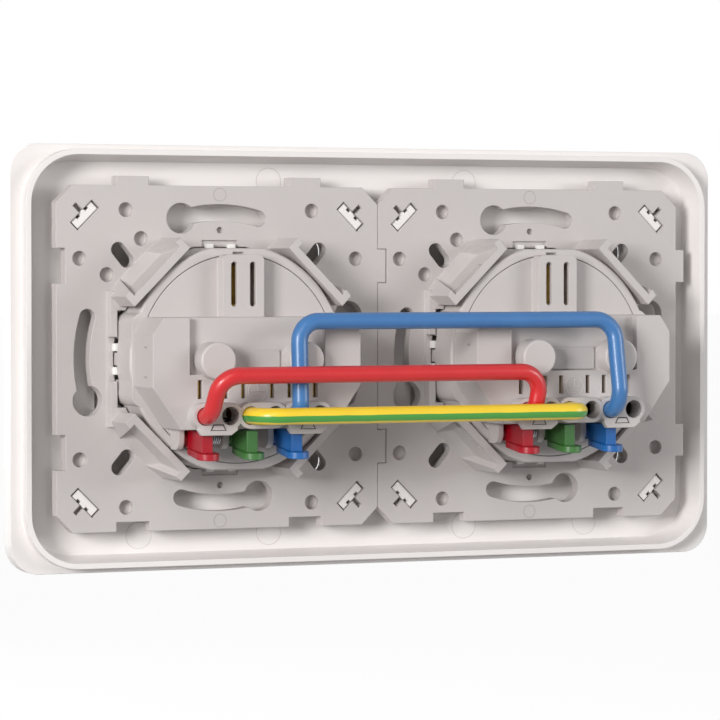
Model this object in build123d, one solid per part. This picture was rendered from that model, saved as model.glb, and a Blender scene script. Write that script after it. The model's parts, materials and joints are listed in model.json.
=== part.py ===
from build123d import *
import os
from math import atan2, degrees, sqrt

# Double wall socket with an earth pin, two gangs wired together, in millimetres.
# Wall face at y = 0, front of the socket towards -Y, terminals towards +Y, +Z up.
# Each gang is drawn in its own rear view: X to the viewer's right, Y up,
# Z towards the viewer from the rear face of the support frame, then set in place.

# Gangs and finish plate
gang_pitch = 71.0
plate_gang_width = 89.0
plate_height = 87.6
plate_front = -8.0
plate_skin = 2.4
plate_edge_round = 2.0
flange_corner = 6.0
flange_rear = -2.1
rim_inset_side = 2.4
rim_inset_top = 1.05
rim_corner = 11.2
rim_wall = 1.15
rim_draft = 10.0
rim_rear = 1.0

# Support frame
support_thickness = 3.0
support_gap = 0.1
support_chamfer = 3.6
tab_place = 19.0
tab_width = 7.0
tab_length = 1.9
tab_clearance = 0.1
peg_place = 29.3
peg_bar_length = 6.6
peg_bar_width = 2.3
peg_stem_width = 1.0
peg_stem_length = 2.0
peg_clearance = 0.15
peg_end_gap = 0.35
peg_notch_place = 1.2
peg_notch_width = 0.9
peg_notch_depth = 0.6
peg_recess = 0.4
peg_shoulder = 1.2
screw_radius = 30.0
screw_slot_width = 3.4
screw_slot_half_angle = 16.5
screw_head_hole = 6.3
pip_near = 20.5
pip_far = 30.45
pip_diameter = 3.0
pip_depth = 1.6
claw_hole_width = 3.1
claw_hole_reach = 2.8
claw_hole_angle = 50.0
pilot_hole_angle = 10.0
centre_mark_place = 26.35
centre_mark_diameter = 1.3
centre_mark_depth = 1.0

# Claw guides on the support frame
guide_thickness = 1.65
guide_half_length = 8.4
guide_rear = 11.6
guide_cheek_reach = 2.8
guide_foot_reach = 3.4
pocket_half_top = 6.9
pocket_half_foot = 3.9
pocket_ramp = 4.2
claw_slit_far = 5.6
claw_slit_near = 2.2
claw_slit_low = 8.6
claw_slit_high = 10.9
claw_slit_depth = 1.2
side_wall_thickness = 1.5
side_wall_rear = 2.5
side_wall_half = 13.9

# Drum of the socket base
drum_wall = 0.95
drum_flat_cut = 0.7
drum_rim = 1.95
drum_rear = 10.5
drum_edge = 0.6
drum_clearance = 0.3
rim_notch_half = 1.15
rim_notch_depth = 0.45
rim_notch_height = 0.9
wing_step = 0.3
wing_half_height = 9.6
wing_corner = 2.5
base_flange_reach = 1.7
base_flange_thickness = 1.6
partition_thickness = 1.4

# Plug well and pins
pin_spacing = 19.0
pin_diameter = 4.8
pin_hole_clearance = 0.6
earth_pin_place = 10.0
earth_pin_reach = 14.0
earth_pin_shoulder = 0.2
earth_pin_fit = 0.05
cover_margin = 0.4
cover_corner = 3.0
cover_front = -10.0
cover_face_thickness = 2.4
window_clearance = 0.3
well_radius = 20.0
well_depth = 15.0
well_wall = 1.3
well_floor = 1.2
tube_clearance = 0.35
hook_offset = 2.4
hook_width = 1.6
hook_thickness = 0.9
hook_barb = 0.9
hook_head = 1.2
hook_clearance = 0.3
hook_room = 1.0
hook_recess_half = 3.95
hook_recess_reach = 1.35
hook_recess_depth = 0.5
hook_window_half = 4.5
hook_window_floor = 0.9
foot_gap = 0.5

# Shutter
shutter_thickness = 1.3
shutter_clearance = 0.2
shutter_travel = 6.2
shutter_half_width = 13.5
shutter_margin = 1.1
spring_strip = 0.35
spring_half_width = 5.0
spring_runs = 4
spring_length = 9.6

# Terminal cover
cover_fit = 0.15
block_half_width = 22.4
block_top = 8.6
block_bottom = -13.8
block_rear = 21.7
block_top_chamfer_width = 2.3
block_top_chamfer_height = 3.4
block_low_chamfer_width = 6.0
block_low_chamfer_height = 8.5
block_wall = 1.4
recess_half_width = 14.55
recess_bottom = -2.8
recess_depth = 1.7
recess_roof = 1.6
column_radius = 3.75
column_height = 4.8
column_wall = 0.8
column_edge = 0.5
panel_half_width = 5.3
panel_low = -2.6
panel_high = 2.0
panel_rise = 0.3
snap_mark_places = (2.6, -3.4)
snap_mark_height = 0.35
snap_mark_low = 16.5
snap_mark_high = 18.3
snap_mark_depth = 0.5
terminal_roof = 1.5
earth_block_half_width = 4.5
earth_block_top = 21.3
earth_block_height = 3.2
earth_block_corner = 1.3
earth_block_wall = 1.2
earth_slot_place = 2.05
earth_slot_width = 1.3
earth_slot_low = 10.7
earth_slot_high = 19.8
test_slot_height = 3.75
test_slot_width = 1.0
test_slot_place = -5.75
test_slot_spread = (2.75, 3.1)

# Terminals
terminal_pitch = 9.65
entry_spacing = 5.3
entry_place = -11.0
entry_radius = 1.85
entry_collar = 2.65
entry_height = 3.0
lip_half_width_top = 4.2
lip_low_left = 3.5
lip_low_right = 2.8
lip_low = -14.85
lip_thickness = 1.3

# Release levers
lever_offset = -1.75
lever_pivot_height = -15.9
lever_pivot_depth = 13.4
lever_pin_radius = 1.2
lever_pin_clearance = 0.05
lever_hub_radius = 1.75
lever_thickness = 2.3
lever_top_gap = 0.3
lever_lip_gap = 0.4
lever_blade_front = 14.6
lever_foot_top = -18.8
lever_foot_thickness = 1.3
lever_foot_radius = 2.25
lever_foot_rear = 25.6
lever_end_gap = 0.1
lug_thickness = 1.2
lug_skin = 0.35
lug_side_gap = 1.0
lug_wall = 1.0

# Contacts and clamp springs
strip = 0.8
contact_gap = 0.1
grip_height = 8.2
grip_half_width = 2.2
clamp_half_width = 4.3
clamp_reach = 8.9
earth_strip_half_width = 2.6
spring_leaf = 0.35
spring_leaf_half_width = 4.0
spring_slit = 0.6

# Link wires
wire_radius = 1.7
core_radius = 0.9
strip_end = 20.5
core_end = 12.8
wire_bend = 4.2
wire_tight_bend = 2.6
live_run_height = -2.75
live_run_near = 32.0
live_run_far = 29.2
live_exit_near = 27.4
live_exit_far = 28.0
live_lean = 1.1
earth_run_depth = 31.2
neutral_run_height = 7.85
neutral_run_near = 26.4
neutral_run_far = 25.8
neutral_exit_near = 27.4
neutral_exit_far = 29.6

# Derived places
plate_width = gang_pitch + plate_gang_width
plate_floor = plate_front + plate_skin
support_half = gang_pitch / 2 - support_gap / 2
well_outer = well_radius + well_wall
tube_room = well_outer + tube_clearance
drum_flat = tube_room + drum_wall
drum_radius = drum_flat + drum_flat_cut
rim_inner = drum_radius - drum_rim
wing_half_width = drum_flat + wing_step
base_flange_radius = drum_radius + base_flange_reach
base_front = -support_thickness - base_flange_thickness
side_wall_near = wing_half_width + drum_clearance
side_wall_far = side_wall_near + side_wall_thickness
cover_side = 2 * (side_wall_far + cover_margin)
hook_root = cover_front + cover_face_thickness
guide_distance = drum_radius + drum_clearance
well_floor_front = cover_front + well_depth
well_floor_rear = well_floor_front + well_floor
partition_front = well_floor_rear + shutter_thickness + 2 * shutter_clearance
partition_rear = partition_front + partition_thickness
pin_hole_radius = pin_diameter / 2 + pin_hole_clearance / 2
pin_half = pin_spacing / 2
earth_shank_radius = pin_diameter / 2 - earth_pin_shoulder
earth_rivet_radius = earth_shank_radius - strip
recess_floor = block_rear - recess_depth
cavity_roof = recess_floor - recess_roof
terminal_cavity_roof = block_rear - terminal_roof
terminal_face = block_rear + entry_height
column_rear = recess_floor + column_height
spring_seat = -pin_hole_radius - shutter_margin - spring_length
terminal_centres = {"live": -terminal_pitch, "earth": 0.0, "neutral": terminal_pitch}
corners = [(1, 1), (-1, 1), (-1, -1), (1, -1)]


def slab(sketch, low, high):
    """A sketch of the rear view, raised from one depth to another."""
    return extrude(Pos(0, 0, low) * sketch, high - low, dir=(0, 0, 1))


def side_slab(sketch, left, right):
    """A sketch of the side view (height, depth), raised across the gang."""
    return extrude(Pos(left, 0, 0) * (Plane.YZ * sketch), right - left, dir=(1, 0, 0))


def place(x, y, sketch, angle=0.0):
    return Pos(x, y) * (Rot(0, 0, angle) * sketch)


def box_between(x_from, x_to, y_from, y_to):
    middle = Pos((x_from + x_to) / 2, (y_from + y_to) / 2)
    return middle * Rectangle(abs(x_to - x_from), abs(y_to - y_from))


def peg_slot():
    """Slot for a fixing peg, its narrow stem towards +Y."""
    stem_end = peg_bar_width / 2 + peg_stem_length
    stem = box_between(-peg_stem_width / 2, peg_stem_width / 2, 0, stem_end)
    return Rectangle(peg_bar_length, peg_bar_width) + stem


def fixing_peg():
    """Outline of a fixing peg, with two notches on the side of the stem."""
    edge = peg_bar_width / 2 - peg_clearance
    outline = Rectangle(peg_bar_length - 2 * peg_end_gap, 2 * edge)
    for side in (-1, 1):
        notch = Rectangle(peg_notch_width, 2 * peg_notch_depth)
        outline -= Pos(side * peg_notch_place, edge) * notch
    return outline


def at_corners(place_each, sketch):
    """The sketch at the four corners, turned so that its +Y points outwards."""
    copies = Sketch()
    for sx, sy in corners:
        turn = degrees(atan2(sy, sx)) - 90
        copies += place(sx * place_each, sy * place_each, sketch, turn)
    return copies


def drum_round(grow=0.0):
    return Circle(drum_radius + grow) & Rectangle(2 * (drum_radius + grow), 2 * (drum_flat + grow))


def drum_wings(grow=0.0):
    size = (2 * (wing_half_width + grow), 2 * (wing_half_height + grow))
    return RectangleRounded(*size, wing_corner + grow)


def hook_sides():
    """Turn, outer face and seat depth of the cover hooks on the four sides of the drum."""
    for turn in (0, 180):
        yield turn, drum_flat, -hook_recess_depth
    for turn in (90, 270):
        yield turn, wing_half_width, hook_window_floor


def cover_hooks():
    """Eight legs of the front cover, each with a barb that sits on the support frame."""
    hooks = Part()
    for turn, face, seat in hook_sides():
        for side in (-1, 1):
            near = side * hook_offset - hook_width / 2
            leg = box_between(near, near + hook_width, face - hook_thickness, face)
            barb = box_between(near, near + hook_width, face - hook_thickness, face + hook_barb)
            hook = slab(leg, hook_root, seat) + slab(barb, seat, seat + hook_head)
            hooks += Rot(0, 0, turn) * hook
    return hooks


def hook_notches():
    """Room in the wall of the drum for the cover hooks."""
    notches = Part()
    for turn, face, seat in hook_sides():
        for side in (-1, 1):
            near = side * (hook_offset - hook_width / 2 - hook_clearance)
            far = side * (hook_offset + hook_width / 2 + hook_room)
            inner = face - hook_thickness - hook_clearance
            notch = box_between(near, far, inner, base_flange_radius)
            notches += Rot(0, 0, turn) * slab(notch, base_front, seat + hook_head + hook_clearance)
    return notches


def support_outline():
    side = 2 * support_half
    outline = chamfer(Rectangle(side, side).vertices(), support_chamfer)
    tab = box_between(-tab_width / 2, tab_width / 2, -tab_length, tab_length)
    notch_depth = tab_length + tab_clearance
    notch_half = tab_width / 2 + tab_clearance
    notch = box_between(-notch_half, notch_half, -notch_depth, notch_depth)
    for sign in (-1, 1):
        outline += place(sign * tab_place, support_half, tab)
        outline += place(support_half, sign * tab_place, tab, 90)
        outline -= place(sign * tab_place, -support_half, notch)
        outline -= place(-support_half, sign * tab_place, notch, 90)
    return outline


def screw_slot():
    """Keyhole slot along the screw circle, its large end anticlockwise."""
    start = 90 - screw_slot_half_angle
    arc = CenterArc((0, 0), screw_radius, start, 2 * screw_slot_half_angle)
    head = Pos(*(arc @ 1)) * Circle(screw_head_hole / 2)
    return SlotArc(arc, screw_slot_width) + head


def claw_guide(slit_side):
    """One diagonal guide, its outward direction along +Y, slit towards one end unless that is 0."""
    near = guide_distance
    far = near + guide_thickness
    cheek_end = near + guide_cheek_reach
    foot_end = near + guide_foot_reach
    plan = Polygon(
        (-guide_half_length, near), (guide_half_length, near), (guide_half_length, cheek_end),
        (pocket_half_foot, foot_end), (-pocket_half_foot, foot_end), (-guide_half_length, cheek_end),
        align=None
    )
    pocket = Polygon(
        (-pocket_half_top, guide_rear), (pocket_half_top, guide_rear), (pocket_half_foot, 0),
        (-pocket_half_foot, 0), align=None
    )
    ramp = Polygon((far, 0), (far, pocket_ramp), (foot_end, 0), align=None)
    guide = slab(plan, -support_thickness, guide_rear)
    guide -= Pos(0, far, 0) * extrude(Plane.XZ * pocket, foot_end - near, dir=(0, 1, 0))
    guide += side_slab(ramp, -pocket_half_top, pocket_half_top) & slab(plan, 0, pocket_ramp)
    if slit_side:
        slit = box_between(slit_side * claw_slit_far, -slit_side * claw_slit_near, far - claw_slit_depth, far)
        guide -= slab(slit, claw_slit_low, claw_slit_high)
    return guide


def support_frame(slit):
    plate = support_outline()
    plate -= at_corners(peg_place, peg_slot())
    for quarter in range(4):
        plate -= Rot(0, 0, 90 * quarter) * screw_slot()
    diagonal = screw_radius / sqrt(2)
    claw_hole = SlotCenterToCenter(claw_hole_reach, claw_hole_width)
    for sx, sy in corners:
        lean = claw_hole_angle * sx * sy
        plate -= place(sx * diagonal, sy * diagonal, claw_hole, lean)
    frame = slab(plate, -support_thickness, 0)
    for sx, sy in corners:
        guide = claw_guide(sx * sy if slit else 0)
        frame += Rot(0, 0, degrees(atan2(sy, sx)) - 90) * guide
    arm_low = wing_half_height + drum_clearance
    for side in (-1, 1):
        wall = box_between(side * side_wall_near, side * side_wall_far, -side_wall_half, side_wall_half)
        for end in (-1, 1):
            wall += box_between(0, side * side_wall_far, end * arm_low, end * side_wall_half)
        frame += slab(wall, 0, side_wall_rear)
    opening = drum_round(drum_clearance) + drum_wings(drum_clearance)
    frame -= slab(opening, -support_thickness, guide_rear)
    window = Rectangle(2 * side_wall_far, 2 * hook_window_half)
    frame -= slab(window, hook_window_floor, side_wall_rear)
    recess_top = drum_flat + drum_clearance + hook_recess_reach
    frame -= slab(Rectangle(2 * hook_recess_half, 2 * recess_top), -hook_recess_depth, 0)
    pips = Sketch()
    for sx, sy in corners:
        pips += Pos(sx * pip_near, sy * pip_far) * Circle(pip_diameter / 2)
        pips += Pos(sx * pip_far, sy * pip_near) * Circle(pip_diameter / 2)
    for turn in (135 - pilot_hole_angle, 135 + pilot_hole_angle):
        pips += Rot(0, 0, turn) * Pos(screw_radius, 0) * Circle(pip_diameter / 2)
    frame -= slab(pips, -pip_depth, 0)
    for sign in (-1, 1):
        mark = Pos(0, sign * centre_mark_place) * Circle(centre_mark_diameter / 2)
        frame -= slab(mark, -centre_mark_depth, 0)
    return frame


def finish_plate():
    flange = slab(RectangleRounded(plate_width, plate_height, flange_corner), plate_front, flange_rear)
    flange = fillet(flange.faces().sort_by(Axis.Z)[0].edges(), plate_edge_round)
    rim_width = plate_width - 2 * rim_inset_side
    rim_height = plate_height - 2 * rim_inset_top
    plate = flange + slab(RectangleRounded(rim_width, rim_height, rim_corner), flange_rear, rim_rear)
    hollow = RectangleRounded(rim_width - 2 * rim_wall, rim_height - 2 * rim_wall, rim_corner - rim_wall)
    plate -= extrude(Pos(0, 0, rim_rear) * hollow, plate_floor - rim_rear, taper=rim_draft)
    window_side = cover_side + 2 * window_clearance
    window = RectangleRounded(window_side, window_side, cover_corner + window_clearance)
    shoulder_half = peg_bar_length / 2 + peg_shoulder
    shoulder_low = -peg_bar_width / 2 - peg_shoulder
    shoulder = box_between(-shoulder_half, shoulder_half, shoulder_low, peg_bar_width / 2)
    for centre in (-gang_pitch / 2, gang_pitch / 2):
        plate -= Pos(centre, 0, 0) * slab(window, plate_front, plate_floor)
        plate += Pos(centre, 0, 0) * slab(at_corners(peg_place, shoulder), plate_floor, -support_thickness)
        pegs = at_corners(peg_place, fixing_peg())
        plate += Pos(centre, 0, 0) * slab(pegs, plate_floor, -peg_recess)
    return plate


def socket_base():
    drum = slab(drum_round(), base_front, drum_rear)
    base = fillet(drum.edges().group_by(Axis.Z)[-1], drum_edge) + slab(drum_wings(), base_front, drum_rear)
    flange = Circle(base_flange_radius) & Rectangle(2 * wing_half_width, 2 * drum_flat)
    base += slab(flange, base_front, -support_thickness)
    base -= slab(Circle(tube_room), base_front, partition_front)
    base -= slab(Circle(rim_inner), partition_rear, drum_rear)
    notch = box_between(-rim_notch_half, rim_notch_half, 0, rim_inner + rim_notch_depth)
    base -= slab(notch, drum_rear - rim_notch_height, drum_rear)
    base -= hook_notches()
    holes = Pos(0, earth_pin_place) * Circle(earth_shank_radius + earth_pin_fit)
    for side in (-1, 1):
        holes += Pos(side * pin_half, 0) * Circle(pin_hole_radius)
    base -= slab(holes, partition_front, partition_rear)
    rib = box_between(-spring_half_width, spring_half_width, spring_seat - strip, spring_seat)
    base += slab(rib, well_floor_rear + shutter_clearance, partition_front)
    return base


def front_cover():
    cover = slab(RectangleRounded(cover_side, cover_side, cover_corner), cover_front, hook_root)
    cover += slab(Circle(well_outer), hook_root, well_floor_rear)
    cover -= slab(Circle(well_radius), cover_front, well_floor_front)
    holes = Pos(0, earth_pin_place) * Circle(pin_hole_radius)
    for side in (-1, 1):
        holes += Pos(side * pin_half, 0) * Circle(pin_hole_radius)
    cover -= slab(holes, well_floor_front, well_floor_rear)
    cover += cover_hooks()
    foot_place = hook_offset + hook_width / 2 + hook_room + foot_gap
    for side in (-1, 1):
        for end in (-1, 1):
            foot = box_between(side * (side_wall_near + foot_gap), side * side_wall_far, end * foot_place,
                               end * (foot_place + side_wall_thickness))
            cover += slab(foot, hook_root, -support_thickness)
    return cover


def earth_pin():
    """Round-nosed pin, riveted through the partition and the earth strip."""
    radius = pin_diameter / 2
    tip = well_floor_front - earth_pin_reach
    rivet_rear = partition_rear + contact_gap + 2 * strip
    profile = Polyline(
        (0, rivet_rear), (earth_rivet_radius, rivet_rear), (earth_rivet_radius, partition_rear),
        (earth_shank_radius, partition_rear), (earth_shank_radius, well_floor_front),
        (radius, well_floor_front), (radius, tip + radius)
    )
    nose = CenterArc((0, tip + radius), radius, 0, -90)
    outline = make_face([*profile.edges(), nose, Line((0, tip), (0, rivet_rear))])
    return Pos(0, earth_pin_place, 0) * revolve(Plane.XZ * outline, Axis.Z)


def shutter():
    low = -pin_hole_radius - shutter_margin
    high = shutter_travel + pin_hole_radius + shutter_margin
    plate = box_between(-shutter_half_width, shutter_half_width, low, high)
    notch = pin_half - pin_hole_radius - shutter_margin
    plate -= box_between(-notch, notch, -low - shutter_margin, high)
    for side in (-1, 1):
        plate -= Pos(side * pin_half, shutter_travel) * Circle(pin_hole_radius)
    front = well_floor_rear + shutter_clearance
    return slab(plate, front, front + shutter_thickness)


def shutter_spring():
    """Folded strip spring between the shutter and its rib."""
    top = -pin_hole_radius - shutter_margin - spring_strip
    step = (spring_length - 2 * spring_strip) / spring_runs
    points = []
    for run in range(spring_runs + 1):
        side = spring_half_width - spring_strip
        points.append((side if run % 2 else -side, top - run * step))
    front = well_floor_rear + shutter_clearance
    return slab(trace(Polyline(*points), spring_strip), front, front + shutter_thickness)


def block_outline():
    top_in = block_half_width - block_top_chamfer_width
    low_in = block_half_width - block_low_chamfer_width
    right = [
        (top_in, block_top), (block_half_width, block_top - block_top_chamfer_height),
        (block_half_width, block_bottom + block_low_chamfer_height), (low_in, block_bottom)
    ]
    left = [(-x, y) for x, y in reversed(right)]
    return Polygon(*right, *left, align=None)


def entry_places(name):
    centre = terminal_centres[name]
    return (centre - entry_spacing / 2, centre + entry_spacing / 2)


def test_slot_places(name):
    spread = test_slot_spread[1] if name == "earth" else test_slot_spread[0]
    centre = terminal_centres[name]
    return (centre - spread, centre + spread)


def lever_place(name):
    return terminal_centres[name] + lever_offset


def lug_profile():
    """Bearing lug of a lever, drawn as height and depth."""
    radius = lever_pin_radius + lever_pin_clearance + lug_wall
    body = box_between(lever_pivot_height - radius, block_bottom + block_wall, drum_rear, lever_pivot_depth)
    body += Pos(lever_pivot_height, lever_pivot_depth) * Circle(radius)
    body += box_between(lever_pivot_height, block_bottom + block_wall, lever_pivot_depth,
                        lever_pivot_depth + radius)
    return body


def terminal_cover():
    disc_radius = rim_inner - cover_fit
    cover = slab(Circle(disc_radius), partition_rear, drum_rear)
    cover += slab(block_outline(), drum_rear, block_rear)
    earth_block = box_between(-earth_block_half_width, earth_block_half_width,
                              block_top - block_wall, earth_block_top)
    earth_block = fillet(earth_block.vertices().group_by(Axis.Y)[-1], earth_block_corner)
    earth_rear = drum_rear + earth_block_height
    cover += slab(earth_block, drum_rear, earth_rear)
    recess = box_between(-recess_half_width, recess_half_width, recess_bottom, block_top)
    cover -= slab(recess, recess_floor, block_rear)
    inside = offset(block_outline(), -block_wall, kind=Kind.INTERSECTION) & Circle(disc_radius - block_wall)
    cover -= slab(inside, partition_rear, cavity_roof)
    terminal_room = box_between(-block_half_width, block_half_width, block_bottom, recess_bottom - strip)
    cover -= slab(inside & terminal_room, partition_rear, terminal_cavity_roof)
    earth_half = earth_block_half_width - earth_block_wall
    earth_room = box_between(-earth_half, earth_half, 0, earth_block_top - earth_block_wall)
    cover -= slab(earth_room, partition_rear, earth_rear - earth_block_wall)
    columns = Sketch()
    bores = Sketch()
    for side in (-1, 1):
        columns += Pos(side * pin_half, 0) * Circle(column_radius)
        bores += Pos(side * pin_half, 0) * Circle(column_radius - column_wall)
    column_solids = slab(columns, recess_floor, column_rear)
    cover += fillet(column_solids.edges().group_by(Axis.Z)[-1], column_edge)
    cover -= slab(bores, cavity_roof, column_rear - column_wall)
    panel = box_between(-panel_half_width, panel_half_width, panel_low, panel_high)
    cover += slab(panel, recess_floor, recess_floor + panel_rise)
    for side in (-1, 1):
        for height in snap_mark_places:
            mark = box_between(side * (block_half_width - snap_mark_depth), side * block_half_width,
                               height - snap_mark_height / 2, height + snap_mark_height / 2)
            cover -= slab(mark, snap_mark_low, snap_mark_high)
    slots = Sketch()
    for side in (-1, 1):
        slots += Pos(side * earth_slot_place, (earth_slot_low + earth_slot_high) / 2) * SlotOverall(
            earth_slot_high - earth_slot_low, earth_slot_width, rotation=90)
    cover -= slab(slots, earth_rear - earth_block_wall, earth_rear)
    for name, centre in terminal_centres.items():
        collar = Pos(centre, entry_place) * SlotCenterToCenter(entry_spacing, 2 * entry_collar)
        cover += slab(collar, terminal_cavity_roof, terminal_face)
        if name != "earth":
            lip = Polygon(
                (centre - lip_half_width_top, block_bottom), (centre - lip_low_left, lip_low),
                (centre + lip_low_right, lip_low), (centre + lip_half_width_top, block_bottom),
                (centre + lip_half_width_top, entry_place), (centre - lip_half_width_top, entry_place),
                align=None
            )
            cover += slab(lip, terminal_face - lip_thickness, terminal_face)
        for x in test_slot_places(name):
            slot = Pos(x, test_slot_place) * Rectangle(test_slot_width, test_slot_height)
            cover -= slab(slot, terminal_cavity_roof, block_rear)
        bearing = Pos(lever_pivot_height, lever_pivot_depth) * Circle(lever_pin_radius + lever_pin_clearance)
        for side in (-1, 1):
            near = lever_place(name) + side * (lever_thickness / 2 + lug_side_gap)
            lug = side_slab(lug_profile(), near, near + side * lug_thickness)
            cover += lug - side_slab(bearing, near, near + side * (lug_thickness - lug_skin))
    for name in terminal_centres:
        for x in entry_places(name):
            cover -= slab(Pos(x, entry_place) * Circle(entry_radius), terminal_cavity_roof, terminal_face)
    return cover


def release_lever(name):
    x = lever_place(name)
    half = lever_thickness / 2
    hub = Pos(lever_pivot_height, lever_pivot_depth) * Circle(lever_hub_radius)
    blade = box_between(lever_foot_top, block_bottom - lever_top_gap, lever_pivot_depth,
                        terminal_face - lip_thickness - lever_lip_gap)
    blade -= box_between(lever_foot_top, lever_pivot_height - lever_hub_radius,
                         lever_pivot_depth, lever_blade_front)
    lever = side_slab(hub + blade, x - half, x + half)
    pin_half_length = half + lug_side_gap + lug_thickness - lug_skin - lever_end_gap
    pin = Pos(lever_pivot_height, lever_pivot_depth) * Circle(lever_pin_radius)
    lever += side_slab(pin, x - pin_half_length, x + pin_half_length)
    foot_end = Pos(0, lever_foot_rear - lever_foot_radius) * Circle(lever_foot_radius)
    foot_start = Line((-half, lever_blade_front), (half, lever_blade_front))
    foot = make_hull([*foot_end.edges(), foot_start])
    foot_plane = Plane(origin=(x, lever_foot_top, 0), x_dir=(1, 0, 0), z_dir=(0, -1, 0))
    lever += extrude(foot_plane * foot, lever_foot_thickness, dir=(0, -1, 0))
    return lever


def test_tabs(name, low, high):
    """Upright tongues under the test slots of a terminal."""
    tabs = Part()
    half_height = test_slot_height / 2 - contact_gap
    for x in test_slot_places(name):
        tab = Pos(x, test_slot_place) * Rectangle(strip, 2 * half_height)
        tabs += slab(tab, low, high)
    return tabs


def clamp_bar(name, low):
    """Bar that the wire cores are pressed against, above the entries."""
    centre = terminal_centres[name]
    bar_low = entry_place + core_radius + contact_gap / 2
    bar = box_between(centre - clamp_half_width, centre + clamp_half_width, bar_low, bar_low + strip)
    foot = box_between(centre - clamp_half_width, centre + clamp_half_width, bar_low, test_slot_place)
    return slab(bar, low, low + clamp_reach) + slab(foot, low, low + strip)


def line_contact(name):
    """Live or neutral contact: a channel that grips the pin, and its terminal."""
    side = -1 if name == "live" else 1
    low = partition_rear + contact_gap
    near = pin_diameter / 2 + contact_gap / 2
    far = near + strip
    pin_x = side * pin_half
    grip = box_between(pin_x - far, pin_x + far, -grip_half_width - strip, grip_half_width)
    grip -= box_between(pin_x - near, pin_x + near, -grip_half_width, grip_half_width)
    contact = slab(grip, low, low + grip_height)
    leg = box_between(pin_x - far, pin_x + far, test_slot_place - test_slot_height / 2, -grip_half_width)
    contact += slab(leg, low, low + strip)
    contact += clamp_bar(name, low)
    contact += test_tabs(name, low, terminal_cavity_roof - contact_gap)
    return contact


def earth_contact():
    low = partition_rear + contact_gap
    top = earth_slot_high - earth_slot_width / 2
    strip_plan = box_between(-earth_strip_half_width, earth_strip_half_width, test_slot_place, top)
    strip_plan -= Pos(0, earth_pin_place) * Circle(earth_rivet_radius)
    crossbar = test_slot_spread[1] + strip / 2
    strip_plan += box_between(-crossbar, crossbar, test_slot_place - test_slot_height / 2,
                              test_slot_place + test_slot_height / 2)
    contact = slab(strip_plan, low, low + strip)
    contact += clamp_bar("earth", low)
    contact += test_tabs("earth", low, terminal_cavity_roof - contact_gap)
    return contact


def clamp_spring(name):
    """Steel leaf under the wire cores, split into a tongue for each entry."""
    centre = terminal_centres[name]
    low = partition_rear + contact_gap
    leaf_high = entry_place - core_radius - contact_gap / 2
    leaf_low = leaf_high - spring_leaf
    plan = box_between(centre - spring_leaf_half_width, centre + spring_leaf_half_width, leaf_low, leaf_high)
    plan -= box_between(centre - spring_slit / 2, centre + spring_slit / 2, leaf_low, leaf_high)
    leaf = slab(plan, low, low + clamp_reach)
    foot = box_between(centre - spring_leaf_half_width, centre + spring_leaf_half_width, leaf_low,
                       entry_place + core_radius - contact_gap)
    return leaf + slab(foot, low, low + spring_leaf)


def link_route(name, start):
    """Corner points of a link wire, from one terminal to the same one of the other gang."""
    left = -gang_pitch / 2
    right = gang_pitch / 2
    entry = entry_places(name)[0]
    near = left + entry
    far = right + entry
    if name == "live":
        middle = [
            (near, entry_place, live_exit_near), (near + live_lean / 2, live_run_height, live_run_near),
            (far + live_lean, live_run_height, live_run_far), (far, entry_place, live_exit_far)
        ]
        bends = [wire_bend, wire_bend, wire_bend, wire_tight_bend]
    elif name == "earth":
        middle = [(near, entry_place, earth_run_depth), (far, entry_place, earth_run_depth)]
        bends = [wire_bend, wire_tight_bend]
    else:
        middle = [
            (near, entry_place, neutral_exit_near), (near, neutral_run_height, neutral_run_near),
            (far, neutral_run_height, neutral_run_far), (far, entry_place, neutral_exit_far)
        ]
        bends = [wire_tight_bend, wire_bend, wire_bend, wire_bend]
    points = [(near, entry_place, start), *middle, (far, entry_place, start)]
    return FilletPolyline(*points, radius=bends)


def link_wire(name):
    route = link_route(name, strip_end)
    section = Plane(route @ 0, z_dir=route % 0) * (Circle(wire_radius) - Circle(core_radius))
    return sweep(section, path=route)


def link_conductor(name):
    route = link_route(name, core_end)
    section = Plane(route @ 0, z_dir=route % 0) * Circle(core_radius)
    return sweep(section, path=route)


def rear_view(centre):
    """Frame of a rear view whose middle stands at this x in the whole socket."""
    return Location(Plane(origin=(centre, -rim_rear, 0), x_dir=(-1, 0, 0), z_dir=(0, 1, 0)))


gang_pieces = {
    "socket_base": socket_base(),
    "front_cover": front_cover(),
    "terminal_cover": terminal_cover(),
    "earth_pin": earth_pin(),
    "shutter": shutter(),
    "shutter_spring": shutter_spring(),
    "live_contact": line_contact("live"),
    "neutral_contact": line_contact("neutral"),
    "earth_contact": earth_contact(),
}
for terminal in terminal_centres:
    gang_pieces[terminal + "_lever"] = release_lever(terminal)
    gang_pieces[terminal + "_clamp_spring"] = clamp_spring(terminal)

nodes = {"finish_plate": rear_view(0) * finish_plate()}
for gang, centre in (("right", gang_pitch / 2), ("left", -gang_pitch / 2)):
    nodes[gang + "_support_frame"] = rear_view(centre) * support_frame(slit=gang == "left")
    for piece, shape in gang_pieces.items():
        nodes[gang + "_" + piece] = rear_view(centre) * shape
for terminal in terminal_centres:
    nodes[terminal + "_link_wire"] = rear_view(0) * link_wire(terminal)
    nodes[terminal + "_link_conductor"] = rear_view(0) * link_conductor(terminal)

os.makedirs("parts", exist_ok=True)
for node, shape in nodes.items():
    export_step(shape, f"parts/{node}.step")
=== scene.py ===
# %% [markdown]
# # A double wall socket, seen from behind
# The object is a pair of wall sockets in one white finish plate, turned round so that the terminals show.
# Two grey support frames carry the mechanisms, three link wires join them, and coloured levers free the
# wires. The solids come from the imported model. This lesson gives them soft moulded edges, finishes, marks
# and light.

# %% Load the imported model
import json

import bmesh
import bpy
from mathutils import Matrix, Vector


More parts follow.
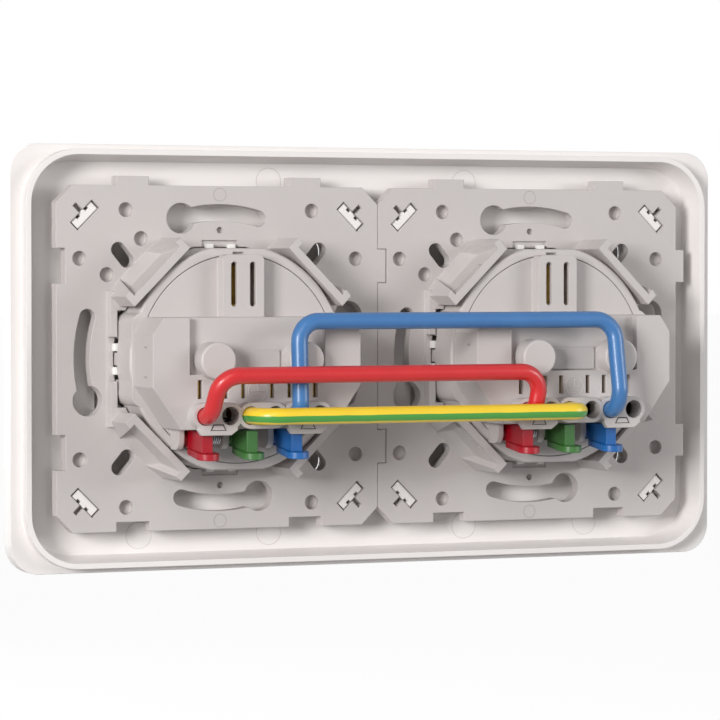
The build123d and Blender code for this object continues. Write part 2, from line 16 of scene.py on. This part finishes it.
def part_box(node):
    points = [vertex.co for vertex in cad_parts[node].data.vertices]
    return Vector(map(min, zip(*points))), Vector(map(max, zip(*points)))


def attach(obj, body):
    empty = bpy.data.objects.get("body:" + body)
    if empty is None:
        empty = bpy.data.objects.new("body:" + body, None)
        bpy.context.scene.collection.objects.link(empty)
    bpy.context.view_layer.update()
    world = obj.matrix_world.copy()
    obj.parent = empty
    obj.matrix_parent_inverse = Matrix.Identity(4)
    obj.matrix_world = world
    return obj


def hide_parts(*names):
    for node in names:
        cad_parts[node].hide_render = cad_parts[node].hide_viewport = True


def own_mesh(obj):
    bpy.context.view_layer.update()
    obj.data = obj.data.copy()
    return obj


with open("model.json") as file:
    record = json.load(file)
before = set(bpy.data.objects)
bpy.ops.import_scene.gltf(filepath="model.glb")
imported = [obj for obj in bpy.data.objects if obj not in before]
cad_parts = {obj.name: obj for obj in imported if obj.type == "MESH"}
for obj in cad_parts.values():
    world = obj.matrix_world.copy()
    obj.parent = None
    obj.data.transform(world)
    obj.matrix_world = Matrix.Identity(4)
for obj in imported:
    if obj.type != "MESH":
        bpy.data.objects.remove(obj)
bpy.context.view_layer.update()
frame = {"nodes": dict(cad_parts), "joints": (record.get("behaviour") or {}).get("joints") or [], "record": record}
nodes = frame["nodes"]
root_body = "socket"
scene = bpy.context.scene

# %% [markdown]
# ## Places on a gang
# Every mark on a gang is placed as a person would measure it from behind: across to the right, up, and out
# from the rear face of its support frame. The earth pin stands on the middle line of its gang, so its box
# gives that line. The rear face lies a millimetre in front of the wall plane.

# %% Places on a gang
mm = 0.001
support_rear = -1.0
gangs = ("right", "left")


def middle_x(node):
    low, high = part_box(node)
    return (low.x + high.x) / 2


gang_middle = {gang: middle_x(f"{gang}_earth_pin") for gang in gangs}


def spot(gang, across, up, out):
    """A point of one gang, in metres, from millimetres across, up and out as seen from behind."""
    return Vector((gang_middle[gang] - across * mm, (support_rear + out) * mm, up * mm))


print("gang middles", {gang: round(x / mm, 2) for gang, x in gang_middle.items()})

# %% [markdown]
# ## Values that add up
# A finish is easier to read as a sum than as a web of nodes. One small class wraps the output of a node and
# turns plus, minus and times into Math nodes, so a roughness is a number plus a share of a noise. A bar
# between two values takes the larger one.


# %% Values that add up
class Signal:
    """The output of a node, which takes part in ordinary arithmetic."""

    def __init__(self, owner, socket):
        self.owner = owner
        self.socket = socket

    def maths(self, operation, first, second):
        return self.owner.node("ShaderNodeMath", {"operation": operation}, {0: first, 1: second})

    def __add__(self, other):
        return self.maths("ADD", self, other)

    def __radd__(self, other):
        return self.maths("ADD", other, self)

    def __sub__(self, other):
        return self.maths("SUBTRACT", self, other)

    def __rsub__(self, other):
        return self.maths("SUBTRACT", other, self)

    def __mul__(self, other):
        return self.maths("MULTIPLY", self, other)

    def __rmul__(self, other):
        return self.maths("MULTIPLY", other, self)

    def __or__(self, other):
        return self.maths("MAXIMUM", self, other)

    def __ror__(self, other):
        return self.maths("MAXIMUM", other, self)

    def __abs__(self):
        return self.maths("ABSOLUTE", self, 0.0)

    def above(self, limit, softness):
        """0 below the limit and 1 above it, with a soft step."""
        settings = {"interpolation_type": "SMOOTHSTEP"}
        inputs = {"Value": self, "From Min": limit - softness, "From Max": limit + softness}
        return self.owner.node("ShaderNodeMapRange", settings, inputs)


# %% [markdown]
# ## One way to make a node
# Finishes, the white background and the small repeated pieces are all trees of nodes. They could be wired
# by hand, with a line for every setting and link. Here one method makes any node: first its settings, then
# its inputs, where a wrapped output becomes a link and anything else a value. A list links several outputs
# to one input.


# %% One way to make a node
class NodeTree:
    """A tree in which every node comes from one method."""

    def __init__(self, tree):
        self.tree = tree
        self.tree.nodes.clear()

    def node(self, kind, settings=None, inputs=None, output=0):
        """A new node's output, from its type, its settings and the values or links of its sockets."""
        made = self.tree.nodes.new(kind)
        for name, value in (settings or {}).items():
            setattr(made, name, value)
        for name, values in (inputs or {}).items():
            for value in values if isinstance(values, list) else [values]:
                if isinstance(value, Signal):
                    self.tree.links.new(value.socket, made.inputs[name])
                else:
                    made.inputs[name].default_value = value
        return None if output is None else Signal(self, made.outputs[output])


# %% [markdown]
# ## A finish
# A finish is one material. What the finishes share has a short name here: cloudy noise, a blend of two
# colours, and a bump on soft edges. A mould leaves no sharp edge, and small radii could be cut on every
# solid. A Bevel node rounds the edges in shading instead, which looks the same at this size and leaves the
# solids as they are.

# %% A finish
bevel_samples = 6
small_edge = 0.12 * mm
noise_middle = 0.5
screen_gamma = 2.2
# A Mix node has sockets for every kind of data, and these are the numbers of the ones for colours.
mix_factor, mix_first, mix_second, mix_colour = 0, 6, 7, 2


class Finish(NodeTree):
    """One material."""

    def __init__(self, name):
        self.material = bpy.data.materials.new(name)
        self.material.use_nodes = True
        super().__init__(self.material.node_tree)
        self.place = self.node("ShaderNodeTexCoord", output="Object")

    def noise(self, size, detail=2.0, place=None):
        """Cloudy noise from 0 to 1 with features about this many metres across."""
        inputs = {"Vector": place or self.place, "Scale": 1 / size, "Detail": detail}
        return self.node("ShaderNodeTexNoise", None, inputs)

    def blend(self, amount, first, second):
        """From the first colour to the second."""
        inputs = {mix_factor: amount, mix_first: first, mix_second: second}
        return self.node("ShaderNodeMix", {"data_type": "RGBA"}, inputs, output=mix_colour)

    def bump(self, height, depth, edge=small_edge):
        """A normal from a height of 0 to 1 that stands for this depth in metres, on rounded edges."""
        rounded = self.node("ShaderNodeBevel", {"samples": bevel_samples}, {"Radius": edge})
        return self.node("ShaderNodeBump", None, {"Height": height, "Distance": depth, "Normal": rounded})

    def show(self, shader):
        """The material, with this shader as its surface."""
        self.node("ShaderNodeOutputMaterial", None, {"Surface": shader}, output=None)
        return self.material

    def surface(self, inputs):
        return self.show(self.node("ShaderNodeBsdfPrincipled", None, inputs))


def rgb(red, green, blue):
    """A colour as it looks on a screen, 0 to 255, turned into light."""
    return tuple((part / 255) ** screen_gamma for part in (red, green, blue)) + (1.0,)


# %% [markdown]
# ## Moulded plastics
# The grey mouldings come out of a spark-eroded mould: a very fine, even grain that is dull to the eye, with
# a slow drift of tone where the melt flowed. Painted pictures could show this, but every solid would have
# to be unwrapped for them. Two noises in space suit them all, a wide one for the drift and a fine one for
# the grain.

# %% Moulded plastics
flow_drift = 14 * mm
drift_share = 0.7
drift_roughness = 0.14
grain_roughness = 0.06
wide_grain = 0.6 * mm
shallow = 0.005 * mm


def moulded(name, light, dark, roughness, grain=0.35 * mm, grain_depth=0.010 * mm, edge=0.30 * mm):
    finish = Finish(name)
    drift = finish.noise(flow_drift, detail=3.0)
    speck = finish.noise(grain)
    change = (drift - noise_middle) * drift_roughness + (speck - noise_middle) * grain_roughness
    return finish.surface({
        "Base Color": finish.blend(drift_share * drift + (1 - drift_share) * speck, dark, light),
        "Roughness": roughness + change,
        "Normal": finish.bump(speck, grain_depth, edge),
    })


support_grey = moulded("support_grey", rgb(198, 192, 190), rgb(190, 184, 182), roughness=0.48)
mechanism_grey = moulded("mechanism_grey", rgb(198, 192, 190), rgb(191, 185, 183), roughness=0.42)
plate_light, plate_dark = rgb(237, 233, 231), rgb(233, 228, 226)
plate_white = moulded(
    "plate_white", plate_light, plate_dark, roughness=0.36, grain=wide_grain, grain_depth=shallow,
)
cover_light, cover_dark = rgb(247, 245, 242), rgb(241, 238, 235)
cover_white = moulded("cover_white", cover_light, cover_dark, roughness=0.32, grain_depth=shallow)
shutter_white = moulded("shutter_white", rgb(232, 229, 226), rgb(224, 220, 217), roughness=0.40)
lever_red = moulded("lever_red", rgb(166, 12, 36), rgb(156, 9, 31), roughness=0.34)
lever_green = moulded("lever_green", rgb(63, 112, 56), rgb(54, 101, 48), roughness=0.36)
lever_blue = moulded("lever_blue", rgb(36, 101, 169), rgb(29, 90, 156), roughness=0.34)
print("moulded finishes", sum(1 for material in bpy.data.materials if material.use_nodes))

# %% [markdown]
# ## Wire insulation
# Insulation is drawn through a die, so it is smooth and a little waxy. The earth wire is yellow with a
# green stripe along each side. The stripe could be a picture wrapped round the wire. The wire's route lies
# in one level plane, though, so height alone says where the stripe is, and a slow noise lets its edges
# wander a little.

# %% Wire insulation
wire_drift = 6 * mm
wire_skin = 0.8 * mm
wire_skin_depth = 0.01 * mm
wire_roughness = 0.30
wire_drift_roughness = 0.12
wire_coat = 0.12
stripe_drop = 0.54 * mm
stripe_half = 0.64 * mm
stripe_edge = 0.06 * mm
stripe_wander = 0.25 * mm


def with_stripe(finish, drift, colour, stripe):
    """The colour, with a stripe a little below the middle of the wire."""
    low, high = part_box("earth_link_wire")
    height = finish.node("ShaderNodeSeparateXYZ", None, {0: finish.place}, output="Z")
    offset = height - (low.z + high.z) / 2
    wander = (drift - noise_middle) * stripe_wander
    inside = 1 - abs(offset + wander + stripe_drop).above(stripe_half, stripe_edge)
    return finish.blend(inside, colour, stripe)


def insulation(name, light, dark, stripe=None):
    finish = Finish(name)
    drift = finish.noise(wire_drift, detail=3.0)
    skin = finish.noise(wire_skin)
    colour = finish.blend(drift, dark, light)
    return finish.surface({
        "Base Color": with_stripe(finish, drift, colour, stripe) if stripe else colour,
        "Roughness": wire_roughness + drift * wire_drift_roughness,
        "Normal": finish.bump(skin, wire_skin_depth),
        "Coat Weight": wire_coat,
    })


wire_red = insulation("wire_red", rgb(208, 40, 44), rgb(196, 32, 38))
wire_blue = insulation("wire_blue", rgb(66, 119, 176), rgb(56, 107, 164))
wire_yellow = insulation("wire_yellow", rgb(246, 212, 56), rgb(238, 200, 44), stripe=rgb(70, 148, 62))
print("stripe", round(2 * stripe_half / mm, 2), "mm wide")

# %% [markdown]
# ## Metals
# The contacts are stamped brass strip, the earth pins are nickel plated, the springs are steel, and the
# wires have copper cores. Each metal has the fine scratches of its rolling, drawing or turning. Single
# scratches could be drawn, but only a few bright edges of metal show, so a noise squeezed along one axis is
# enough, in the roughness and in the bump.

# %% Metals
scratch_size = 0.5 * mm
scratch_squeeze = (1.0, 1.0, 12.0)
scratch_depth = 0.004 * mm
scratch_roughness = 0.2
tarnish_size = 3 * mm


def metal(name, light, dark, roughness):
    finish = Finish(name)
    squeezed = finish.node("ShaderNodeMapping", None, {"Vector": finish.place, "Scale": scratch_squeeze})
    scratch = finish.noise(scratch_size, detail=3.0, place=squeezed)
    tarnish = finish.noise(tarnish_size)
    return finish.surface({
        "Base Color": finish.blend(tarnish, dark, light),
        "Metallic": 1.0,
        "Roughness": roughness + (scratch - noise_middle) * scratch_roughness,
        "Normal": finish.bump(scratch, scratch_depth),
    })


brass = metal("brass", rgb(222, 190, 110), rgb(196, 160, 84), roughness=0.34)
nickel = metal("nickel", rgb(214, 210, 204), rgb(196, 192, 186), roughness=0.24)
spring_steel = metal("spring_steel", rgb(180, 180, 182), rgb(150, 150, 154), roughness=0.34)
copper = metal("copper", rgb(226, 150, 110), rgb(200, 122, 84), roughness=0.32)
print("metal finishes", [finish.name for finish in (brass, nickel, spring_steel, copper)])

# %% [markdown]
# ## A finish for every solid
# The record names what each solid is made of, its slot. Finishes could be given out solid by solid. A table
# from slot to finish does it for all of them at once, and copies of solids take their finish from it too.

# %% A finish for every solid
slot_finish = {
    "plate": plate_white, "support": support_grey, "mechanism": mechanism_grey, "cover": cover_white,
    "shutter": shutter_white, "contact": brass, "plated_pin": nickel, "spring_steel": spring_steel,
    "copper": copper, "wire_red": wire_red, "wire_blue": wire_blue, "wire_yellow": wire_yellow,
    "lever_red": lever_red, "lever_green": lever_green, "lever_blue": lever_blue,
}
slot_of = {part["node"]: part["material_slot"] for part in frame["record"]["subparts"]}
for name, piece in nodes.items():
    piece.data.materials.clear()
    piece.data.materials.append(slot_finish[slot_of[name]])
print("finishes", len(slot_finish))

# %% [markdown]
# ## A recipe for repeated pieces
# Some small things come again on each gang: rings left by the mould, the earth sign, an outline below each
# live and neutral entry, and a coil spring between two lever bearings. They could be modelled one by one.
# Geometry Nodes draw each of them once instead, as a thin tube along a curve, and stand a copy on every
# place. The sizes are named inputs of the tree, so they can be tried by hand.

# %% A recipe for repeated pieces
ring_sides = 48
tube_sides = 6


def add_object(name, data):
    """A new object in the scene that shows this data."""
    made = bpy.data.objects.new(name, data)
    scene.collection.objects.link(made)
    return made


class Recipe(NodeTree):
    """A Geometry Nodes tree with named sizes that ends as one plain mesh."""

    def __init__(self, name):
        super().__init__(bpy.data.node_groups.new(name, "GeometryNodeTree"))
        self.name = name
        self.sizes = {}
        self.tree.interface.new_socket("Places", in_out="INPUT", socket_type="NodeSocketGeometry")
        self.tree.interface.new_socket("Pieces", in_out="OUTPUT", socket_type="NodeSocketGeometry")

    def size(self, name, value):
        """A named input of the tree, with its value."""
        item = self.tree.interface.new_socket(name, in_out="INPUT", socket_type="NodeSocketFloat")
        self.sizes[item.identifier] = value
        return self.node("NodeGroupInput", output=name)

    def ring(self, radius, sides=ring_sides):
        return self.node("GeometryNodeCurvePrimitiveCircle", None, {"Resolution": sides, "Radius": radius})

    def line(self, start, end):
        return self.node("GeometryNodeCurvePrimitiveLine", None, {"Start": start, "End": end})

    def tube(self, curve, radius):
        """A thin round tube along a curve."""
        inputs = {"Curve": curve, "Profile Curve": self.ring(radius, tube_sides), "Fill Caps": True}
        return self.node("GeometryNodeCurveToMesh", None, inputs)

    def stand(self, piece, turn, places, material):
        """A copy of the piece, turned, on every place: one plain mesh object."""
        points = self.node("NodeGroupInput", output="Places")
        inputs = {"Points": points, "Instance": piece, "Rotation": turn}
        copies = self.node("GeometryNodeInstanceOnPoints", None, inputs)
        real = self.node("GeometryNodeRealizeInstances", None, {"Geometry": copies})
        painted = self.node("GeometryNodeSetMaterial", None, {"Geometry": real, "Material": material})
        self.node("NodeGroupOutput", None, {"Pieces": painted}, output=None)
        seeds = bpy.data.meshes.new(self.name)
        seeds.from_pydata(places, [], [])
        return self.made_plain(add_object(self.name, seeds))

    def made_plain(self, holder):
        """The holder, with what the tree draws on its points as its own mesh."""
        modifier = holder.modifiers.new("recipe", "NODES")
        modifier.node_group = self.tree
        for identifier, value in self.sizes.items():
            modifier[identifier] = value
        graph = bpy.context.evaluated_depsgraph_get()
        plain = bpy.data.meshes.new_from_object(holder.evaluated_get(graph))
        holder.modifiers.remove(modifier)
        holder.data = plain
        print(self.name, "faces", len(plain.polygons))
        return holder


# %% [markdown]
# ## Ejector marks
# Round steel pins push a moulding out of its mould, and each one leaves a faint ring. The finish plate
# shows them in the channel round the supports, and each support shows one near its upper and one near its
# lower edge. The rings could be cut as grooves. Instead a thin tube, sunk to its middle in the surface,
# draws each ring and needs no cut in the solid. Its grey is darker than the surface round it: painted
# shade, standing for the shade inside such a groove.

# %% Ejector marks
plate_floor = -6.6
plate_pin_up = 36.75
plate_pins_below = (-51.4, -22.5, 22.5, 51.4)
plate_pins_above = (-22.5, 22.5)
plate_pin_radius = 2.75 * mm
plate_line_radius = 0.07 * mm
support_pin_up = 33.7
support_pin_radius = 1.35 * mm
support_line_radius = 0.06 * mm
ring_edge = 0.03 * mm
from_behind = Matrix(((-1, 0, 0), (0, 0, 1), (0, 1, 0))).to_euler()


def ejector_marks(name, pin_radius, line_radius, places, finish):
    recipe = Recipe(name)
    pin = recipe.size("Pin radius", pin_radius)
    line = recipe.size("Line radius", line_radius)
    marks = recipe.stand(recipe.tube(recipe.ring(pin), line), from_behind, places, finish)
    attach(marks, root_body)


# Painted shade: these ring greys are darker than the plate and the support, as the shade in a groove is.
plate_line = moulded("plate_line", rgb(213, 207, 204), rgb(205, 199, 196), roughness=0.5, edge=ring_edge)
support_line = moulded("support_line", rgb(174, 168, 166), rgb(166, 160, 158), roughness=0.5, edge=ring_edge)
plate_pins = [(across, -plate_pin_up) for across in plate_pins_below]
plate_pins += [(across, plate_pin_up) for across in plate_pins_above]
plate_places = [Vector((across, plate_floor, up)) * mm for across, up in plate_pins]
support_places = [spot(gang, 0.0, up, 0.0) for gang in gangs for up in (-support_pin_up, support_pin_up)]
ejector_marks(
    "plate_ejector_marks", plate_pin_radius, plate_line_radius, plate_places, plate_line,
)
ejector_marks(
    "support_ejector_marks", support_pin_radius, support_line_radius, support_places, support_line,
)

# %% [markdown]
# ## Earth sign
# Between the test slots the mould has the plain earth sign: a ring, an upright and three bars that get
# shorter. It could be a picture on the block. It stands a hair above the block, though, so its strokes are
# tubes of the block's own grey, made a little lighter: painted highlight, the light that catches the raised
# strokes.

# %% Earth sign
block_rear = 21.7
sign_place = (0.0, -6.08)
sign_top = 1.42 * mm
sign_bars = [(-0.10 * mm, 1.43 * mm), (-0.77 * mm, 0.96 * mm), (-1.37 * mm, 0.53 * mm)]
mark_edge = 0.05 * mm
# Painted highlight: the sign's grey is lighter than the block's, as light catching raised strokes is.
mark_grey = moulded("mark_grey", rgb(216, 209, 207), rgb(210, 203, 201), roughness=0.42, edge=mark_edge)
sign = Recipe("earth_sign")
sign_radius = sign.size("Ring radius", 2.0 * mm)
sign_line = sign.size("Line radius", 0.10 * mm)
upright_end = sign_bars[0][0]
strokes = [sign.ring(sign_radius), sign.line((0, sign_top, 0), (0, upright_end, 0))]
for height, half_width in sign_bars:
    strokes.append(sign.line((-half_width, height, 0), (half_width, height, 0)))
drawn = sign.node("GeometryNodeJoinGeometry", None, {"Geometry": strokes})
sign_places = [spot(gang, *sign_place, block_rear) for gang in gangs]
earth_signs = sign.stand(sign.tube(drawn, sign_line), from_behind, sign_places, mark_grey)
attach(earth_signs, root_body)

# %% [markdown]
# ## Outlines below the live and neutral entries
# On the lip below each live and neutral entry is a small grooved outline with sloping sides. Its tube is
# dark grey: painted shade, standing for the shade inside the groove.
# Four lines could draw it. One quadrilateral curve in its trapezoid mode has closed corners, and its three
# sizes are inputs of the tree.

# %% Outlines below the live and neutral entries
terminal_face = 24.7
terminal_pitch = 9.65
outline_middle = -13.3
# Painted shade: the outline's dark grey stands for the shade inside the groove.
groove_dark = moulded("groove_dark", rgb(60, 55, 53), rgb(48, 44, 42), roughness=0.6, edge=mark_edge)
outline = Recipe("terminal_outline")
outline_sizes = {
    "Height": outline.size("Height", 1.08 * mm),
    "Bottom Width": outline.size("Foot width", 3.15 * mm),
    "Top Width": outline.size("Top width", 2.0 * mm),
    "Offset": 0.0,
}
outline_line = outline.size("Line radius", 0.14 * mm)
drawn = outline.node("GeometryNodeCurvePrimitiveQuadrilateral", {"mode": "TRAPEZOID"}, outline_sizes)
outline_places = [
    spot(gang, across, outline_middle, terminal_face)
    for gang in gangs for across in (-terminal_pitch, terminal_pitch)
]
outlines = outline.stand(outline.tube(drawn, outline_line), from_behind, outline_places, groove_dark)
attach(outlines, root_body)

# %% [markdown]
# ## Coil springs between the lever bearings
# The levers turn on one line of bearings. In the gap between the first two bearings a small coil spring
# shows, wound round the line that the lever pins share. Stacked rings would look like it from afar. A
# spiral curve with equal radii is a true helix, and a tube along it is the wire.

# %% Coil springs between the lever bearings
coil_place = (-7.88, -15.9, 13.4)
coil_points = 20
along_gang = Matrix(((0, 0, -1), (0, 1, 0), (1, 0, 0))).to_euler()
coil = Recipe("lever_coil")
coil_turns = coil.size("Turns", 6.0)
coil_radius = coil.size("Coil radius", 1.15 * mm)
coil_length = coil.size("Length", 2.6 * mm)
coil_wire = coil.size("Wire radius", 0.17 * mm)
spiral_sizes = {
    "Resolution": coil_points, "Rotations": coil_turns, "Height": coil_length,
    "Start Radius": coil_radius, "End Radius": coil_radius,
}
drawn = coil.node("GeometryNodeCurveSpiral", None, spiral_sizes)
coil_places = [spot(gang, *coil_place) for gang in gangs]
coils = coil.stand(coil.tube(drawn, coil_wire), along_gang, coil_places, spring_steel)
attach(coils, root_body)

# %% [markdown]
# ## Shutter springs
# Behind each plug well a folded spring pushes the shutter up over the pin holes. When a plug pushes the
# shutter down, the spring is pressed together between the shutter and the rib below it. A new spring could
# be drawn for that. A copy of the solid has the right folds already, and the script works out how short
# it must get at the end of the slide.

# %% Shutter springs
merge_distance = 0.001 * mm
sharp_radians = 0.5
spring_room = 0.1 * mm


def merged_copy(node):
    """A copy of a CAD node's mesh, with its loose triangles joined and only its sharp edges kept sharp."""
    shape = bmesh.new()
    shape.from_mesh(nodes[node].data)
    bmesh.ops.remove_doubles(shape, verts=shape.verts, dist=merge_distance)
    for edge in shape.edges:
        edge.smooth = edge.calc_face_angle(0.0) < sharp_radians
    for face in shape.faces:
        face.smooth = True
    mesh = bpy.data.meshes.new(f"{node}_copy")
    shape.to_mesh(mesh)
    shape.free()
    mesh.materials.append(slot_finish[slot_of[node]])
    return add_object(f"{node}_copy", mesh)


slides = [joint for joint in frame["joints"] if joint["type"] == "slide"]
slide_travel = {joint["name"]: joint["range_m"][1] for joint in slides}
for gang in gangs:
    node = f"{gang}_shutter_spring"
    slide = f"{gang}_shutter_slide"
    low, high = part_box(node)
    spring = merged_copy(node)
    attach(spring, root_body)
    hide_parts(node)
    shortest = 1 - (slide_travel[slide] + spring_room) / (high.z - low.z)
    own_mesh(spring)
    print(node, "is pressed to", round(shortest, 2), "of its length")

# %% [markdown]
# ## Lever feet
# A finger presses each lever on its foot. On the real levers the foot slopes, with its free end lowest,
# while the solids have level feet. New levers could be drawn. A copy of each one is simpler: the points
# below the blade are lifted, more so towards the front, and the blade, the hub and the pin stay as they
# are, so the lever still turns in its lugs.

# %% Lever feet
foot_line = -18.75 * mm
rear_lift = 0.2 * mm
front_lift = 1.1 * mm
terminals = ("live", "earth", "neutral")
for node in [f"{gang}_{terminal}_lever" for gang in gangs for terminal in terminals]:
    lever = merged_copy(node)
    foot = [vertex for vertex in lever.data.vertices if vertex.co.z < foot_line]
    front = min(vertex.co.y for vertex in foot)
    rear = max(vertex.co.y for vertex in foot)
    for vertex in foot:
        forward = (rear - vertex.co.y) / (rear - front)
        vertex.co.z += rear_lift + forward * (front_lift - rear_lift)
    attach(lever, node)
    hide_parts(node)
    print(node, "foot points", len(foot), "from", round(front / mm, 1), "to", round(rear / mm, 1), "mm")

# %% [markdown]
# ## Camera
# The photograph is taken from behind and a little to one side with a long lens. A camera can be set by eye.
# This one was worked out from the corners of the support frames, which are real sizes, so that every piece
# can be compared at its own place. Colours pass the plain view transform, which shows them as they are.

# %% Camera
camera_place = Vector((289.9, 672.05, 17.8)) * mm
camera_aim = Vector((-0.3908, -0.9201, -0.0254))


def turned_to(direction):
    """The turn of a camera or a lamp that looks this way."""
    return direction.to_track_quat("-Z", "Y").to_euler()


camera_data = bpy.data.cameras.new("camera")
camera_data.sensor_width = 36.0
camera_data.lens = 173.94
camera = add_object("camera", camera_data)
camera.location = camera_place
camera.rotation_euler = turned_to(camera_aim)
bpy.context.scene.camera = camera
scene.view_settings.view_transform = "Standard"
print("camera at", [round(value, 3) for value in camera_place])

# %% [markdown]
# ## Lamps
# The main soft box stands to the viewer's left, a little higher than the socket, so walls that face left
# are bright and the wires throw their shade to the right. A weaker box on the right fills that shade, a
# small one above lights the upper edges, and one in front is there for views of the plug wells. Points of
# light would do for brightness, but their shadows are hard, so every lamp is a square that faces the middle
# of the object.


# %% Lamps
def soft_box(name, place, side, power, tint=(1.0, 1.0, 1.0)):
    data = bpy.data.lights.new(name, "AREA")
    data.shape = "SQUARE"
    data.size = side
    data.energy = power
    data.color = tint
    lamp = add_object(name, data)
    lamp.location = place
    lamp.rotation_euler = turned_to(-Vector(place))


soft_box("key_box", (1.05, 0.80, 0.24), side=0.4, power=15.5, tint=(1.0, 0.99, 0.98))
soft_box("far_box", (-1.00, 0.75, 0.25), side=0.5, power=6.0)
soft_box("top_box", (0.40, 0.80, 0.60), side=0.4, power=1.6)
soft_box("front_box", (0.3, -1.05, 0.38), side=0.9, power=10.5)

# %% [markdown]
# ## White background
# The photograph has a plain white background. A world as white as that would also light the object from all
# sides and take its shade away. This one is white to the camera and to reflections, and dim as a light,
# because it asks what kind of ray meets it.

# %% White background
white = rgb(255, 255, 255)
world_as_light = 0.10
world_as_seen = 1.0


def seen_by_ray(tree):
    """1 for the camera, for a reflection and through glass, and 0 for light on its way to a surface."""
    rays = ("Camera", "Glossy", "Transmission")
    direct, mirrored, through = [tree.node("ShaderNodeLightPath", output=f"Is {ray} Ray") for ray in rays]
    return direct | mirrored | through


world = bpy.data.worlds.new("studio")
world.use_nodes = True
scene.world = world
studio = NodeTree(world.node_tree)
strength = world_as_light + seen_by_ray(studio) * (world_as_seen - world_as_light)
sky = studio.node("ShaderNodeBackground", None, {"Color": white, "Strength": strength})
studio.node("ShaderNodeOutputWorld", None, {"Surface": sky}, output=None)
print("world", world_as_seen, "as seen,", world_as_light, "as a light")

# %% [markdown]
# ## Floor
# The socket hangs above a plain pale floor. A painted floor would turn grey away from the lamps and part
# from the background in a line. To the camera and to reflections this one is mostly an even glow, so it
# runs into the white, and to the object it is only paint, so it throws little light back.

# %% Floor
floor_drop = 0.20
floor_size = 30.0
floor_drift = 0.4
floor_roughness = 0.9
floor_glow = 0.85
glow_strength = 1.12
half = floor_size / 2
corners = [(-half, -half), (half, -half), (half, half), (-half, half)]
floor_mesh = bpy.data.meshes.new("floor")
floor_mesh.from_pydata([(x, y, -floor_drop) for x, y in corners], [], [(0, 1, 2, 3)])
floor = add_object("floor", floor_mesh)
floor_finish = Finish("floor_paint")
tone = floor_finish.blend(floor_finish.noise(floor_drift), rgb(136, 136, 136), rgb(144, 144, 144))
paint = floor_finish.node("ShaderNodeBsdfPrincipled", None, {"Base Color": tone, "Roughness": floor_roughness})
glow = floor_finish.node("ShaderNodeEmission", None, {"Color": white, "Strength": glow_strength})
layers = {0: seen_by_ray(floor_finish) * floor_glow, 1: paint, 2: glow}
floor_mesh.materials.append(floor_finish.show(floor_finish.node("ShaderNodeMixShader", None, layers)))
print("floor", floor_size, "m across,", floor_drop, "m down")

# %% [markdown]
# ## Last update
# Marks and springs must not make the object bigger than its solids. The last line brings the places of
# all objects up to date.

# %% Last update
bpy.context.view_layer.update()
